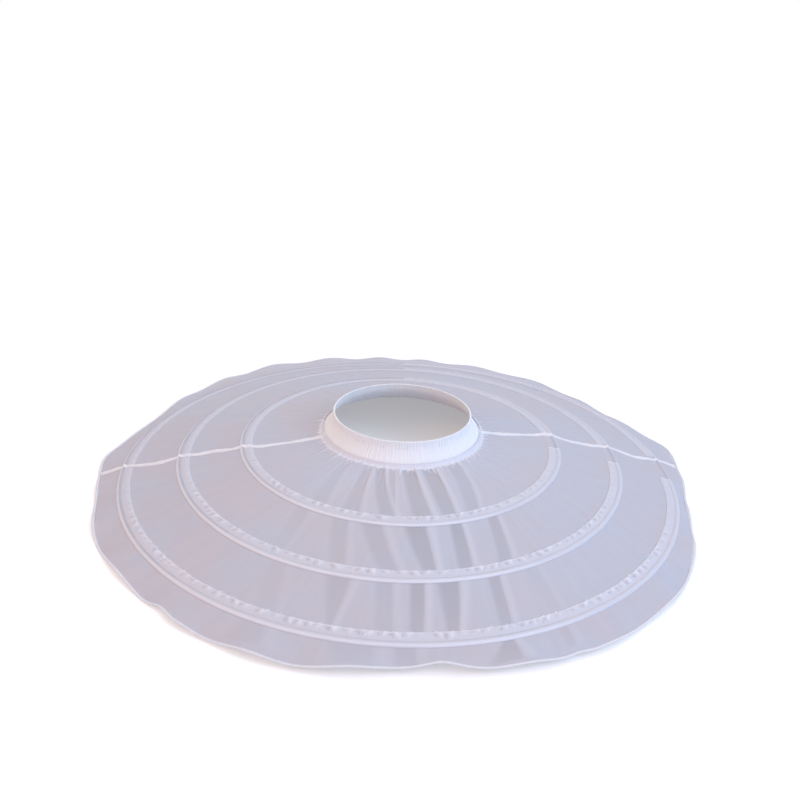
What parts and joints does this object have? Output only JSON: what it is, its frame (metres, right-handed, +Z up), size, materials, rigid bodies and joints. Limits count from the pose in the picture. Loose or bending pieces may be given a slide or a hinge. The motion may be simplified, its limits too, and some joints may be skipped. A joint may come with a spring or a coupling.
{
  "type": "hoop crinoline petticoat",
  "caption": "Short, very wide organza hoop petticoat with a shirred elastic waistband, hoops in sewn casings and a wavy overlocked hem.",
  "frame": {"origin": "under the middle of the waist opening, on the level of the lowest points of the hem", "axes": "+Z up through the waist opening, -Y towards the front of the skirt, +X towards the side seam where the hoops are joined, which is on the right as seen from the front"},
  "size_m": [1.0063, 0.9925, 0.114],
  "materials": {
    "gathered_fabric": "soft matte white polyester, shirred over elastic",
    "elastic": "woven white elastic",
    "organza": "crisp sheer white organza with a cool cast",
    "organza_seam": "several layers of organza, overlocked",
    "tape": "white woven polyester tape, puckered along its stitching",
    "thread": "white polyester sewing thread",
    "coated_steel": "white plastic coat over flat spring steel",
    "joiner_plastic": "white moulded plastic sleeve"
  },
  "bodies": {
    "root": {"back_panel": "organza", "front_panel": "organza", "hem_overlock": "thread", "left_side_seam": "organza_seam", "lower_casing": "tape", "lower_casing_stitching": "thread", "lower_hoop": "coated_steel", "lower_hoop_joiner": "joiner_plastic", "middle_casing": "tape", "middle_casing_stitching": "thread", "middle_hoop": "coated_steel", "middle_hoop_joiner": "joiner_plastic", "right_side_seam": "organza_seam", "upper_casing": "tape", "upper_casing_stitching": "thread", "upper_hoop": "coated_steel", "upper_hoop_joiner": "joiner_plastic", "waist_elastic": "elastic", "waist_stitching": "thread", "waistband": "gathered_fabric"}
  },
  "joints": []
}
